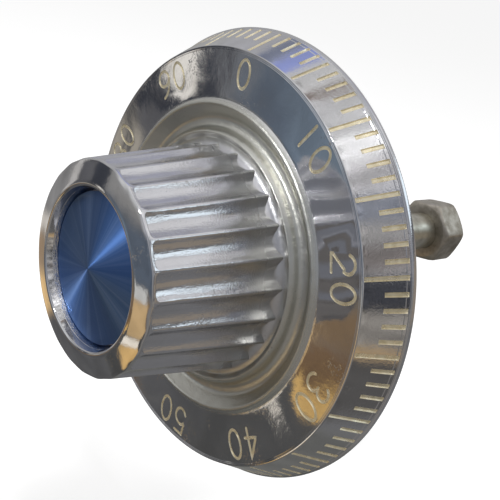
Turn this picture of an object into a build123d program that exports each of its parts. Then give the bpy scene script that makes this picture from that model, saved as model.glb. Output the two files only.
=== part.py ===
"""Combination dial of a safe: a plated casting with its fluted knob, on a threaded spindle.

The dial's axis is Y. Its front faces -Y, the spindle runs back along +Y, and the zero mark is
at +Z. The origin is on the axis, in the plane of the dial's back edge. Millimetres.
"""

import os
from math import cos, degrees, hypot, pi, radians, sin, sqrt, tan

from build123d import *

os.makedirs("parts", exist_ok=True)

# ---------------------------------------------------------------- dial plate
rim_radius = 40.5  # outside of the narrow band at the back edge
band_width = 0.8  # length of that band along the axis
band_step = 0.2  # the band stands this far outside the bevel's foot
face_height = 7.85  # flat face, in front of the back edge
bevel_width = 2.8  # across, from the bevel's head to its foot
bevel_head_drop = 1.35  # where the rolled edge meets the bevel, behind the face
edge_width = 0.9  # across, from the flat face to the bevel's head
edge_inset = 0.25  # middle of the rolled edge, inside the bevel's head
edge_drop = 0.4  # the same place, behind the face

# ---------------------------------------------------- graduation on the bevel
division_count = 100
divisions_per_long_mark = 5
mark_width = 0.75  # halfway down the bevel
mark_depth = 0.25
long_mark_gap = 0.15  # uncut, from the bevel's head
short_mark_gap = 2.45
mark_end_gap = 0.35  # uncut, at the bevel's foot

# ------------------------------------------------------- rings round the knob
ring_radius = 27.85  # outside of the raised ring, on the face
ring_width = 1.6
ring_height = 0.75  # crest in front of the face
ring_inner_step = 0.2  # its inner side ends this far in front of the face
dish_outer_radius = 25.8  # the dish rises through the face's plane here
dish_low_radius = 24.2
dish_depth = 1.15  # lowest line of the dish, behind the face
bead_radius = 22.0  # crest of the bead round the knob's foot
bead_half_width = 0.95
bead_height = 0.65  # in front of the face
bead_outer_drop = 0.8  # its outer foot, behind the face
flare_run = 1.5  # bevelled foot that the flutes run out into
flare_drop = 0.1  # the end of that foot, behind the face
flare_knee = 0.45  # its middle corner stands this far off both ends' lines

# ----------------------------------------------------------------------- knob
knob_height = 24.15  # front of the knob, in front of the face
knob_foot_radius = 20.1  # over the ridges, at the face
knob_nose_radius = 17.5  # over the ridges, at the shoulder
shoulder_length = 0.8  # from the ridges' ends to the front land
shoulder_knee_inset = 0.22  # middle corner of the shoulder, inside the nose
shoulder_knee_drop = 0.25  # the same place, behind the land
land_radius = 16.6  # outside of the front land
land_crown = 0.25  # the land's middle stands in front of its edges
flute_count = 24
flute_radius = 3.7  # radius of each concave flute
flute_front_gap = 1.0  # the flutes stop this far behind the knob's front
ridge_width = 0.15  # sharp land left between two flutes
drum_root = 3.0  # the drum starts this far behind the face, inside the plate

# ----------------------------------------------- recess and inlay in the knob
recess_radius = 13.25  # at the mouth
recess_floor_radius = 12.5
recess_depth = 2.6
inlay_clearance = 0.1  # round the inlay's edge
inlay_edge_thickness = 0.9
inlay_rise = 1.45  # the shallow cone's middle, in front of its edge
inlay_flat_radius = 0.3  # tiny flat that the turning leaves in the middle

# -------------------------------------------------- cored back of the casting
knob_wall = 3.0  # behind the flutes
knob_floor = 3.4  # between the core and the recess
boss_radius = 8.5  # cast boss inside the core
web_count = 3
web_thickness = 2.2
web_setback = 1.0  # boss and webs stop this far inside the back edge
web_root = 0.3  # the webs run this far into the boss and the wall
hub_radius = 7.5  # turned journal at the boss's end
hub_length = 8.0  # behind the back edge
hub_chamfer = 0.6
core_rim_width = 3.2  # rim between the core and the back groove
plate_wall = 3.3  # thickness left between the dish and the back groove
rim_land = 3.6  # width of the flat land at the back edge

# -------------------------------------------------------- spindle and its nut
spindle_radius = 3.97
spindle_chamfer = 0.6
spindle_seat = 20.0  # how far the spindle is screwed in, from the back edge
thread_clearance = 0.02
slot_width = 1.6  # lengthwise slot for the lock's spline key
slot_depth = 1.2
slot_start_gap = 1.5  # from the hub's end
pin_radius = 1.25  # spring pin through hub and spindle
pin_wall = 0.45
pin_gap = 0.5
pin_recess = 0.5  # each end lies this far inside the hub
nut_across_flats = 12.7
nut_thickness = 6.75
nut_gap = 53.4  # from the back edge to the nut
nut_turn = 20.0  # a corner's angle from the zero mark, clockwise from the front
nut_bevel_angle = 30.0  # of the turned corners
nut_face_inset = 0.1  # the round face lies this far inside the flats
spindle_proud = 2.0  # spindle end behind the nut

over_cut = 1.0  # cutters run this far past the surface that they cut
ring_chord_count = 3  # flats that make up a rounded ring of the casting
edge_chord_count = 2  # the same, for a gently rounded edge

# ------------------------------------------------------------ derived places
knob_front = face_height + knob_height  # mouth of the recess
nose_front = knob_front - shoulder_length  # ridges end here
bevel_head = face_height - bevel_head_drop
bevel_foot = band_width + band_step / 2
bevel_foot_radius = rim_radius - band_step
bevel_head_radius = bevel_foot_radius - bevel_width
face_radius = bevel_head_radius - edge_width
bevel_drop = bevel_head - bevel_foot
bevel_length = hypot(bevel_width, bevel_drop)
recess_floor = knob_front - recess_depth
core_top = recess_floor - knob_floor
drum_back = face_height - drum_root
ridge_slope = (knob_foot_radius - knob_nose_radius) / (nose_front - face_height)
back_groove_top = face_height - dish_depth - plate_wall
spindle_end = nut_gap + nut_thickness + spindle_proud


def at(radius, height):
    """Point of a section: radius from the axis, height in front of the back edge."""
    return (radius, -height)


def section_plane(angle):
    """Plane through the axis, for a section that stands at an angle from the zero mark."""
    return Plane(
        origin=(0, 0, 0),
        x_dir=(sin(angle), 0, cos(angle)),
        z_dir=(-cos(angle), 0, sin(angle)),
    )


def ridge_radius(height):
    """Radius over the knob's ridges at a height."""
    return knob_foot_radius - ridge_slope * (height - face_height)


def flute_axis_radius(height):
    """Radius of a flute's own axis: its two edges leave the ridge's width between them."""
    radius = ridge_radius(height)
    half_chord = radius * sin(pi / flute_count) - ridge_width / 2
    depth = flute_radius - sqrt(flute_radius**2 - half_chord**2)
    return radius - depth + flute_radius


def valley_radius(height):
    """Radius at the bottom of a flute."""
    return flute_axis_radius(height) - flute_radius


def flute_plane(angle):
    """Plane across a flute's axis, where the drum starts. The axis leans in to the front."""
    out = Vector(sin(angle), 0, cos(angle))
    forward = Vector(0, -1, 0)
    return Plane(
        origin=out * flute_axis_radius(drum_back) + forward * drum_back,
        x_dir=Vector(cos(angle), 0, -sin(angle)),
        z_dir=forward - out * flute_lean,
    )


def arc_points(start, middle, end, chords):
    """Points along the arc through three points, so that a rounded ring turns into few faces."""
    arc = ThreePointArc(start, middle, end)
    return [arc.position_at(n / chords) for n in range(chords + 1)]


def on_bevel(along, out):
    """Point of a section: distance along the bevel from its head, and out of its surface."""
    radius = bevel_head_radius + (bevel_width * along + bevel_drop * out) / bevel_length
    height = bevel_head - (bevel_drop * along - bevel_width * out) / bevel_length
    return at(radius, height)


# ------------------------------------------------------------------- casting
flute_front = knob_front - flute_front_gap
flute_run = flute_front - drum_back
flute_lean = (flute_axis_radius(drum_back) - flute_axis_radius(flute_front)) / flute_run
flute_planes = [flute_plane(2 * pi * n / flute_count) for n in range(flute_count)]
flare_top = valley_radius(face_height)
flare_foot = face_height - flare_drop
crest_radius = ring_radius - ring_width / 2
bead_outer = at(bead_radius + bead_half_width, face_height - bead_outer_drop)
bead_inner = at(bead_radius - bead_half_width, flare_foot)
cavity_foot_radius = valley_radius(face_height) - knob_wall
cavity_top_radius = valley_radius(core_top) - knob_wall
mark_arc = mark_width / (bevel_head_radius + bevel_width / 2)
groove_inner_radius = cavity_foot_radius + core_rim_width
groove_outer_radius = rim_radius - rim_land
crown = arc_points(
    at(recess_radius, knob_front),
    at((recess_radius + land_radius) / 2, knob_front + land_crown),
    at(land_radius, knob_front),
    edge_chord_count,
)
rolled_edge = arc_points(
    at(bevel_head_radius, bevel_head),
    at(bevel_head_radius - edge_inset, face_height - edge_drop),
    at(face_radius, face_height),
    edge_chord_count,
)
raised_ring = arc_points(
    at(ring_radius, face_height),
    at(crest_radius, face_height + ring_height),
    at(ring_radius - ring_width, face_height + ring_inner_step),
    ring_chord_count,
)
dish = arc_points(
    at(dish_outer_radius, face_height),
    at(dish_low_radius, face_height - dish_depth),
    bead_outer,
    ring_chord_count,
)
bead = arc_points(bead_outer, at(bead_radius, face_height + bead_height), bead_inner, ring_chord_count)

with BuildPart() as dial_casting:
    # Knob drum, over its ridges.
    with BuildSketch(Plane.XY):
        with BuildLine():
            Polyline(
                at(0, knob_front),
                at(0, drum_back),
                at(ridge_radius(drum_back), drum_back),
                at(knob_nose_radius, nose_front),
                at(knob_nose_radius - shoulder_knee_inset, knob_front - shoulder_knee_drop),
                at(land_radius, knob_front),
                close=True,
            )
        make_face()
    revolve(axis=Axis.Y)

    # Flutes, from the drum's start to a closed end behind the shoulder.
    with BuildSketch(*flute_planes):
        Circle(flute_radius)
    extrude(amount=hypot(flute_run, flute_run * flute_lean), mode=Mode.SUBTRACT)

    # Crown of the front land.
    with BuildSketch(Plane.XY):
        with BuildLine():
            Polyline(*crown, close=True)
        make_face()
    revolve(axis=Axis.Y)

    # Dial plate: rings, dish, face, bevel and band, solid to the axis.
    with BuildSketch(Plane.XY):
        with BuildLine():
            Polyline(
                *rolled_edge,
                *raised_ring,
                *dish,
                *bead[1:],
                at(flare_top + flare_run, flare_foot),
                at(flare_top + flare_knee, flare_foot + flare_knee),
                at(flare_top, flare_foot + flare_run),
                at(0, flare_foot + flare_run),
                at(0, 0),
                at(rim_radius, 0),
                at(rim_radius, band_width),
                at(bevel_foot_radius, bevel_foot),
                close=True,
            )
        make_face()
    revolve(axis=Axis.Y)

    # Graduation: a long mark at every fifth division, short marks between.
    for n in range(division_count):
        start = short_mark_gap if n % divisions_per_long_mark else long_mark_gap
        end = bevel_length - mark_end_gap
        with BuildSketch(section_plane(2 * pi * n / division_count - mark_arc / 2)):
            with BuildLine():
                Polyline(
                    on_bevel(start, over_cut),
                    on_bevel(start, -mark_depth),
                    on_bevel(end, -mark_depth),
                    on_bevel(end, over_cut),
                    close=True,
                )
            make_face()
    revolve(axis=Axis.Y, revolution_arc=degrees(mark_arc), mode=Mode.SUBTRACT)

    # Recess for the inlay.
    with BuildSketch(Plane.XY):
        with BuildLine():
            Polyline(
                at(0, knob_front + over_cut),
                at(recess_radius, knob_front + over_cut),
                at(recess_radius, knob_front),
                at(recess_floor_radius, recess_floor),
                at(0, recess_floor),
                close=True,
            )
        make_face()
    revolve(axis=Axis.Y, mode=Mode.SUBTRACT)

    # Core of the knob, with the boss left standing in it and the journal on the boss.
    with BuildSketch(Plane.XY):
        with BuildLine():
            Polyline(
                at(hub_radius, -over_cut),
                at(hub_radius, web_setback),
                at(boss_radius, web_setback),
                at(boss_radius, core_top),
                at(cavity_top_radius, core_top),
                at(cavity_foot_radius, face_height),
                at(cavity_foot_radius, -over_cut),
                close=True,
            )
        make_face()
    revolve(axis=Axis.Y, mode=Mode.SUBTRACT)

    # Shallow groove in the back of the plate.
    with BuildSketch(Plane.XY):
        with BuildLine():
            Polyline(
                at(groove_inner_radius, -over_cut),
                at(groove_inner_radius, back_groove_top),
                at(groove_outer_radius, back_groove_top),
                at(groove_outer_radius, -over_cut),
                close=True,
            )
        make_face()
    revolve(axis=Axis.Y, mode=Mode.SUBTRACT)

    # Webs that tie the boss to the knob's wall.
    with BuildSketch(Plane.XZ.offset(web_setback)):
        with PolarLocations((boss_radius + cavity_foot_radius) / 2, web_count, start_angle=90):
            Rectangle(cavity_foot_radius - boss_radius + 2 * web_root, web_thickness)
    extrude(amount=core_top - web_setback)

    # The journal goes on behind the back edge. Then its bore and the pin's hole.
    with BuildSketch(Plane.XZ):
        Circle(hub_radius)
    extrude(amount=-hub_length)
    chamfer(dial_casting.faces().sort_by(Axis.Y)[-1].edges(), length=hub_chamfer)
    with BuildSketch(Plane.XZ.offset(-hub_length)):
        Circle(spindle_radius + thread_clearance)
    extrude(amount=hub_length + spindle_seat, mode=Mode.SUBTRACT)
    with BuildSketch(Plane.XY):
        with Locations((0, hub_length / 2)):
            Circle(pin_radius)
    extrude(amount=hub_radius + over_cut, both=True, mode=Mode.SUBTRACT)

dial_casting.part.label = "dial_casting"
export_step(dial_casting.part, "parts/dial_casting.step")

# --------------------------------------------------------------------- inlay
inlay_radius = recess_floor_radius - inlay_clearance
inlay_edge = recess_floor + inlay_edge_thickness

with BuildPart() as knob_inlay:
    with BuildSketch(Plane.XY):
        with BuildLine():
            Polyline(
                at(0, recess_floor),
                at(inlay_radius, recess_floor),
                at(inlay_radius, inlay_edge),
                at(inlay_flat_radius, inlay_edge + inlay_rise),
                at(0, inlay_edge + inlay_rise),
                close=True,
            )
        make_face()
    revolve(axis=Axis.Y)

knob_inlay.part.label = "knob_inlay"
export_step(knob_inlay.part, "parts/knob_inlay.step")

# ------------------------------------------------------------------- spindle
slot_start = hub_length + slot_start_gap

with BuildPart() as spindle:
    with BuildSketch(Plane.XZ.offset(spindle_seat)):
        Circle(spindle_radius)
    extrude(amount=-(spindle_seat + spindle_end))
    chamfer(spindle.edges().group_by(Axis.Y)[-1], length=spindle_chamfer)
    with BuildSketch(Plane.XY):
        with Locations((0, hub_length / 2)):
            Circle(pin_radius)
    extrude(amount=spindle_radius + over_cut, both=True, mode=Mode.SUBTRACT)
    with BuildSketch(Plane.XY):
        with Locations((slot_depth - spindle_radius, slot_start)):
            Rectangle(
                slot_depth + over_cut,
                spindle_end - slot_start + over_cut,
                align=(Align.MAX, Align.MIN),
            )
    extrude(amount=slot_width / 2, both=True, mode=Mode.SUBTRACT)

spindle.part.label = "spindle"
export_step(spindle.part, "parts/spindle.step")

# ---------------------------------------------------------------- spring pin
with BuildPart() as hub_pin:
    with BuildSketch(Plane.XY):
        with Locations((0, hub_length / 2)):
            Circle(pin_radius)
            Circle(pin_radius - pin_wall, mode=Mode.SUBTRACT)
        with Locations((0, hub_length / 2 + pin_radius)):
            Rectangle(pin_gap, 2 * pin_radius, mode=Mode.SUBTRACT)
    extrude(amount=hub_radius - pin_recess, both=True)

hub_pin.part.label = "hub_pin"
export_step(hub_pin.part, "parts/hub_pin.step")

# ----------------------------------------------------------------------- nut
nut_corner_radius = nut_across_flats / 2 / cos(pi / 6)
nut_face_radius = nut_across_flats / 2 - nut_face_inset
nut_bevel = (nut_corner_radius - nut_face_radius) * tan(radians(nut_bevel_angle))
nut_bore = spindle_radius + thread_clearance
nut_back = nut_gap + nut_thickness
nut_plane = Plane(
    origin=(0, nut_gap, 0),
    x_dir=(sin(radians(nut_turn)), 0, cos(radians(nut_turn))),
    z_dir=(0, 1, 0),
)

with BuildPart() as spindle_nut:
    with BuildSketch(nut_plane):
        RegularPolygon(nut_across_flats / 2, 6, major_radius=False)
    extrude(amount=nut_thickness)

    # Turned corners at both ends, and the bore.
    with BuildSketch(Plane.XY):
        with BuildLine():
            Polyline(
                (nut_bore, nut_gap),
                (nut_face_radius, nut_gap),
                (nut_corner_radius, nut_gap + nut_bevel),
                (nut_corner_radius, nut_back - nut_bevel),
                (nut_face_radius, nut_back),
                (nut_bore, nut_back),
                close=True,
            )
        make_face()
    revolve(axis=Axis.Y, mode=Mode.INTERSECT)

spindle_nut.part.label = "spindle_nut"
export_step(spindle_nut.part, "parts/spindle_nut.step")
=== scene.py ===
"""Looks of a safe's combination dial, round its packed construction.

Sizes are in millimetres and become metres when a mesh is made. The dial's axis is Y, its front
faces -Y and its zero mark is at +Z. A height is a distance in front of the back edge, along -Y.
An angle is clockwise from the zero mark, as seen from the front.
"""

from math import asin, atan2, ceil, cos, dist, hypot, pi, radians, sin, sqrt, tan

import bmesh
import bpy
from mathutils import Matrix, Vector
from mathutils.geometry import delaunay_2d_cdt


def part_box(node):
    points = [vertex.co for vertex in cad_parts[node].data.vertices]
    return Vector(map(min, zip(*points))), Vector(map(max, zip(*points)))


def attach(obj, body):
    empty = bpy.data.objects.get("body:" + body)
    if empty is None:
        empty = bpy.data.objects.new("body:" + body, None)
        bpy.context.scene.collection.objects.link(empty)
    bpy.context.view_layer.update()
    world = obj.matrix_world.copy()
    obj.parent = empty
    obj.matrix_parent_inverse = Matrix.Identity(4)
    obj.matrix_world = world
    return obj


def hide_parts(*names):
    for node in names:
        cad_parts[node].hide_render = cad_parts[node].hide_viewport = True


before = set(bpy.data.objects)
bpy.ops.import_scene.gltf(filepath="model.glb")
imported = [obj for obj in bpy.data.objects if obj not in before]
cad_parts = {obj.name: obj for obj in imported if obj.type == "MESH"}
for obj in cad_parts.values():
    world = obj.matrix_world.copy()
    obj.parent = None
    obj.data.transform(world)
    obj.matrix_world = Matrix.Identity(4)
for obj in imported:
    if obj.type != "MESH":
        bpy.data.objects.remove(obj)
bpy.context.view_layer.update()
scene = bpy.context.scene
MM = 0.001


def node_box(name):
    """Lowest and highest corner of a CAD node, in millimetres."""
    low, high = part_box(name)
    return low / MM, high / MM


# ---- sizes from the frame
casting_low, casting_high = node_box("dial_casting")
inlay_low, inlay_high = node_box("knob_inlay")
spindle_low, spindle_high = node_box("spindle")
nut_low, nut_high = node_box("spindle_nut")

LAND_CROWN = 0.25
LAND_CREST_INSET = 0.55
RIM_RADIUS = casting_high.x
KNOB_FRONT = -casting_low.y - LAND_CROWN
HUB_LENGTH = casting_high.y
RECESS_FLOOR = -inlay_high.y
INLAY_RADIUS = inlay_high.x
INLAY_FRONT = -inlay_low.y
SPINDLE_RADIUS = spindle_high.x
SPINDLE_SEAT = -spindle_low.y
NUT_GAP = nut_low.y
NUT_BACK = nut_high.y

# ---- sizes of the dial
BAND_WIDTH = 0.8
BAND_STEP = 0.2
FACE_HEIGHT = 7.85
BEVEL_WIDTH = 2.8
EDGE_WIDTH = 0.9
EDGE_ROUND = 0.15
BEVEL_FOOT_RADIUS = RIM_RADIUS - BAND_STEP
BEVEL_HEAD_RADIUS = BEVEL_FOOT_RADIUS - BEVEL_WIDTH
FACE_RADIUS = BEVEL_HEAD_RADIUS - EDGE_WIDTH
BEVEL_HEAD = FACE_HEIGHT - 1.35
BEVEL_FOOT = BAND_WIDTH + BAND_STEP / 2
BAND_FRONT_ROUND = 0.08
BAND_BACK_ROUND = 0.15
EDGE_STRIP = 0.5  # outer ring of the face, with two engraved lines
EDGE_LINES = (0.16, 0.42)  # distances out from the start of the strip
EDGE_LINE_HALF = 0.05
EDGE_LINE_DEPTH = 0.05
FOOT_LINE = ((0.22, 0), (0.14, 0.08), (0.06, 0))  # distances before the bevel's foot, and depths

DIVISIONS = 100
LONG_MARK_STEP = 5
MARK_HALF_WIDTH = 0.375
MARK_DEPTH = 0.22
MARK_WALL = 0.15
LONG_MARK_GAP = 0.15
SHORT_MARK_GAP = 2.0
MARK_END_GAP = 0.35
RING_LINE_GAP = 0.45
RING_LINE_HALF = 0.09
RING_LINE_DEPTH = 0.08

RING_RADIUS = 27.85
RING_WIDTH = 1.6
RING_HEIGHT = 0.75
RING_FOOT_ROUND = 0.08
DISH_OUTER_RADIUS = 25.8
DISH_LOW_RADIUS = 24.2
DISH_DEPTH = 1.15
BEAD_RADIUS = 22.0
BEAD_HALF_WIDTH = 0.95
BEAD_HEIGHT = 0.65
BEAD_OUTER_DROP = 0.8
FLARE_RUN = 1.5
FLARE_DROP = 0.1
FLARE_KNEE = 0.45

KNOB_FOOT_RADIUS = 20.1
KNOB_NOSE_RADIUS = 17.7
SHOULDER_ROUND = 0.38
FLUTES = 24
FLUTE_RADIUS = 3.7
RIDGE_WIDTH = 0.15
RIDGE_ROUNDING = 0.16
FLUTE_FRONT = KNOB_FRONT - 1.22
FLUTE_CORNER = 0.95  # round that closes each flute, seen from outside
FLUTE_END_RUN = 0.35
FLUTE_END_ROUND = 0.16
LIP_ROUND = 0.12
SCALLOP = 0.15  # how far the flutes still show in the shoulder
RIDGE_DENT = 0.006  # least depth of a flute, on its ridges
RECESS_RADIUS = 13.25
RECESS_FLOOR_RADIUS = 12.5
NOSE_FRONT = KNOB_FRONT - 1.05
SHOULDER_CORNER = KNOB_FRONT - 0.7
LAND_BULGE = 0.03
LAND_FALL = (0.2, 0.06)  # bulge of the land's fall: out from the mouth, and below the crest
MOUTH_ROUND = 0.05
RIDGE_SLOPE = (KNOB_FOOT_RADIUS - KNOB_NOSE_RADIUS) / (NOSE_FRONT - FACE_HEIGHT)

KNOB_WALL = 3.0
CORE_TOP = RECESS_FLOOR - 3.4
BOSS_RADIUS = 8.5
WEBS = 3
WEB_THICKNESS = 2.2
WEB_SETBACK = 1.0
HUB_RADIUS = 7.5
HUB_CHAMFER = 0.6
CORE_RIM_WIDTH = 3.2
GROOVE_TOP = 3.4
GROOVE_ROUND = 0.8
BACK_ROUND = 0.35  # at the mouths of the groove and of the core
RIM_LAND = 3.6
BORE_RADIUS = SPINDLE_RADIUS + 0.02
PIN_RADIUS = 1.25

NUMBER_STEP = 10
NUMBER_RADIUS = 32.95
DIGIT_WIDTH = 2.9  # between the middles of the outer strokes
DIGIT_HEIGHT = 4.9
DIGIT_PITCH = 4.5
NUMBER_SHIFT = 0.35  # the numbers sit a little clockwise of their marks
STROKE_HALF_WIDTH = 0.27
STROKE_WALL = 0.1
STROKE_DEPTH = 0.16
STROKE_EDGE = 0.1  # share of the wall that counts as its top edge
PAINT_INSET = 0.01

INLAY_EDGE = 0.9
INLAY_ROUND = 0.12
INLAY_FLAT_RADIUS = 0.3
INLAY_ROWS = 12
INLAY_COLUMNS = 192

NUT_APOTHEM = 12.7 / 2
NUT_CORNER_RADIUS = 7.15
NUT_FACE_RADIUS = 5.9
NUT_FACE_ANGLE = radians(30)
NUT_BLEND = 0.5
NUT_TURN = radians(20)
NUT_COLUMNS = 144
NUT_ROWS = 24

# ---- fineness of the mesh
# columns across one flute, as shares of its half turn
FLUTE_COLUMNS = (-1, -0.97, -0.935, -0.89, -0.83, -0.73, -0.58, -0.38, -0.19,
                 0, 0.19, 0.38, 0.58, 0.73, 0.83, 0.89, 0.935, 0.97)
BACK_COLUMNS = 240
HUB_COLUMNS = 60
PIN_COLUMNS = 24
POCKET_STEPS = 12
FLARE_STEPS = 24
FLARE_ROWS = 5
FLUTE_ROWS = 7
SHOULDER_STEPS = 7
LAND_STEPS = 6
MOUTH_STEPS = 4
RING_STEPS = 4
CAP_STEPS = 6
OVAL_STEP = 9  # degrees
LINE_STEP = 0.4
BEVEL_HEAD_RUNS = (0, 1.2)  # more rows of the bevel, before the short marks start
BEVEL_FOOT_RUNS = (3.6, 4.5)  # and past their start

SHARP_ANGLE = radians(32)
WELD_DISTANCE = 0.0015
LEAST_EDGE = 0.0005
LEAST_GAP = 1e-5  # points of a flat region that lie closer are one
ON_CIRCLE = 1e-3  # corners this close to a circle lie on it
CLOSED = 1e-3  # a stroke whose ends lie closer is a ring
TINY = 1e-6


# ---- mesh kit
def three_point_arc(start, middle, end, steps):
    """Points on the arc from start through middle to end, both ends included."""
    (ax, ay), (bx, by), (cx, cy) = start, middle, end
    d = 2 * (ax * (by - cy) + bx * (cy - ay) + cx * (ay - by))
    a2, b2, c2 = ax * ax + ay * ay, bx * bx + by * by, cx * cx + cy * cy
    ux = (a2 * (by - cy) + b2 * (cy - ay) + c2 * (ay - by)) / d
    uy = (a2 * (cx - bx) + b2 * (ax - cx) + c2 * (bx - ax)) / d
    radius = hypot(ax - ux, ay - uy)
    first = atan2(ay - uy, ax - ux)
    turn = (1 if d > 0 else -1) * 2 * pi
    sweep = (atan2(cy - uy, cx - ux) - first) % turn
    angles = [first + sweep * n / steps for n in range(steps + 1)]
    return [(ux + radius * cos(t), uy + radius * sin(t)) for t in angles]


def rounded(corner, before, after, radius, steps=3):
    """Points of a small round at a section's corner, between the points before and after it."""
    c, b, a = Vector(corner), Vector(before), Vector(after)
    to_b, to_a = (b - c).normalized(), (a - c).normalized()
    half = to_b.angle(to_a) / 2
    inward = (to_b + to_a).normalized()
    middle = c + inward * radius / sin(half) - inward * radius
    cut = radius * cos(half) / sin(half)
    return three_point_arc(c + to_b * cut, middle, c + to_a * cut, steps)


def placed(radius, angle, height):
    """Point in the shared frame, from its radius, angle and height."""
    return (radius * sin(angle), -height, radius * cos(angle))


def turned(count):
    """Evenly spaced angles round the axis."""
    return [2 * pi * n / count for n in range(count)]


def new_object(name, data):
    """Makes an object and adds it to the scene."""
    made = bpy.data.objects.new(name, data)
    scene.collection.objects.link(made)
    return made


def circle_points(radius, angles):
    """Points of a circle round the axis, as (x, z)."""
    return [(radius * sin(a), radius * cos(a)) for a in angles]


def outside_circle(corners, radius):
    """True if a triangle lies outside the circle that some of its corners may lie on."""
    return max(corner.length for corner in corners) > radius + ON_CIRCLE


def inside_loop(x, y, loop):
    """True if a point lies inside a closed outline."""
    inside = False
    for (x0, y0), (x1, y1) in zip(loop, loop[1:] + loop[:1]):
        if (y0 > y) != (y1 > y) and x < x0 + (y - y0) / (y1 - y0) * (x1 - x0):
            inside = not inside
    return inside


def spline(before, start, end, after, t):
    """Value at a share t from start to end, on the smooth curve through all four."""
    slope = (end - before) * t
    bend = (2 * before - 5 * start + 4 * end - after) * t**2
    twist = (3 * start - before - 3 * end + after) * t**3
    return (2 * start + slope + bend + twist) / 2


def smooth_section(points, steps):
    """Points on the smooth curve through a section's points."""
    padded = [points[0]] + points + [points[-1]]
    made = [points[0]]
    for nearby in zip(padded, padded[1:], padded[2:], padded[3:]):
        for n in range(1, steps + 1):
            made.append(tuple(spline(*values, n / steps) for values in zip(*nearby)))
    return made


class Shape:
    """Gathers the faces of one mesh, and welds them where their edges meet."""

    def __init__(self):
        self.points, self.faces, self.finishes = [], [], []

    def row(self, points):
        """Adds points, and gives their numbers."""
        first = len(self.points)
        self.points += points
        return list(range(first, len(self.points)))

    def loft(self, rows, finish=lambda row, column: 0):
        """Closed strips of four-sided faces between rows of points."""
        rows = [self.row(points) for points in rows]
        for r, (lower, upper) in enumerate(zip(rows, rows[1:])):
            count = len(lower)
            for c in range(count):
                d = (c + 1) % count
                self.faces.append((lower[c], lower[d], upper[d], upper[c]))
                self.finishes.append(finish(r, c))

    def lathe(self, section, angles):
        """A surface of revolution from the (radius, height) points of its section."""
        self.loft([placed(r, a, h) for a in angles] for r, h in section)

    def disc(self, radius, height, angles):
        """Flat disc of three-sided faces, across the axis."""
        *row, tip = self.row([placed(radius, a, height) for a in angles] + [placed(0, 0, height)])
        for c, corner in enumerate(row):
            self.faces.append((corner, row[(c + 1) % len(row)], tip))
            self.finishes.append(0)

    def fill(self, loops, keep, place, finish=lambda x, y: 0):
        """Three-sided faces over a flat region whose closed outlines are given."""
        flat, edges = [], []
        for loop in loops:
            first = len(flat)
            flat += [Vector(p) for p in loop]
            last = len(flat) - 1
            edges += [(n, n + 1 if n < last else first) for n in range(first, last + 1)]
        made, _, triangles, *_ = delaunay_2d_cdt(flat, edges, [], 0, LEAST_GAP)
        row = self.row(place(made))
        for triangle in triangles:
            corners = [made[v] for v in triangle]
            middle = sum(corners, Vector((0, 0))) / 3
            if keep(corners, middle):
                self.faces.append(tuple(row[v] for v in triangle))
                self.finishes.append(finish(*middle))

    def piece(self, name, materials, slot, *replaced):
        """Makes the object, shades it smooth between its sharp edges and gives it to the frame."""
        mesh = bpy.data.meshes.new(name)
        mesh.from_pydata([Vector(p) * MM for p in self.points], [], self.faces)
        for material in materials:
            mesh.materials.append(material)
        mesh.polygons.foreach_set("material_index", self.finishes)
        mesh.polygons.foreach_set("use_smooth", [True] * len(self.faces))
        bm = bmesh.new()
        bm.from_mesh(mesh)
        bmesh.ops.remove_doubles(bm, verts=bm.verts, dist=WELD_DISTANCE * MM)
        bmesh.ops.dissolve_degenerate(bm, edges=bm.edges, dist=LEAST_EDGE * MM)
        bmesh.ops.recalc_face_normals(bm, faces=bm.faces)
        for edge in bm.edges:
            edge.smooth = edge.calc_face_angle(0) < SHARP_ANGLE
        bm.to_mesh(mesh)
        bm.free()
        made = new_object(name, mesh)
        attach(made, "root")
        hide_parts(*replaced)


# ---- the casting
def smooth_minimum(a, b, blend):
    """The smaller of two numbers, rounded off where they are nearly equal."""
    nearness = max(blend - abs(a - b), 0) / blend
    return min(a, b) - nearness * nearness * blend / 4


def ridge_radius(height):
    """Radius over the knob's ridges at a height."""
    return KNOB_FOOT_RADIUS - RIDGE_SLOPE * (height - FACE_HEIGHT)


def flute_axis_radius(height):
    """Radius of a flute's own axis."""
    radius = ridge_radius(height)
    half_chord = radius * sin(pi / FLUTES) - RIDGE_WIDTH / 2
    return radius - (FLUTE_RADIUS - sqrt(FLUTE_RADIUS**2 - half_chord**2)) + FLUTE_RADIUS


def valley_radius(height):
    """Radius at the bottom of a flute."""
    return flute_axis_radius(height) - FLUTE_RADIUS


def flute_surface(turn, height):
    """Radius of the fluted knob, turn being the angle from the flute's middle."""
    axis = flute_axis_radius(height)
    hollow = axis * cos(turn) - sqrt(FLUTE_RADIUS**2 - (axis * sin(turn)) ** 2)
    return smooth_minimum(hollow, ridge_radius(height), RIDGE_ROUNDING)


def meeting(turn, section):
    """Place along a section, as an index with a fraction, where the fluted surface meets it."""
    for n, ((r0, h0), (r1, h1)) in enumerate(zip(section, section[1:])):
        gap0 = flute_surface(turn, h0) - r0
        gap1 = flute_surface(turn, h1) - r1
        if gap0 <= 0 <= gap1:
            return n + gap0 / (gap0 - gap1)
    return len(section) - 1.0


def along(section, place):
    """Point of a section at an index with a fraction."""
    n = min(int(place), len(section) - 2)
    f = place - n
    (r0, h0), (r1, h1) = section[n], section[n + 1]
    return r0 + (r1 - r0) * f, h0 + (h1 - h0) * f


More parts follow.
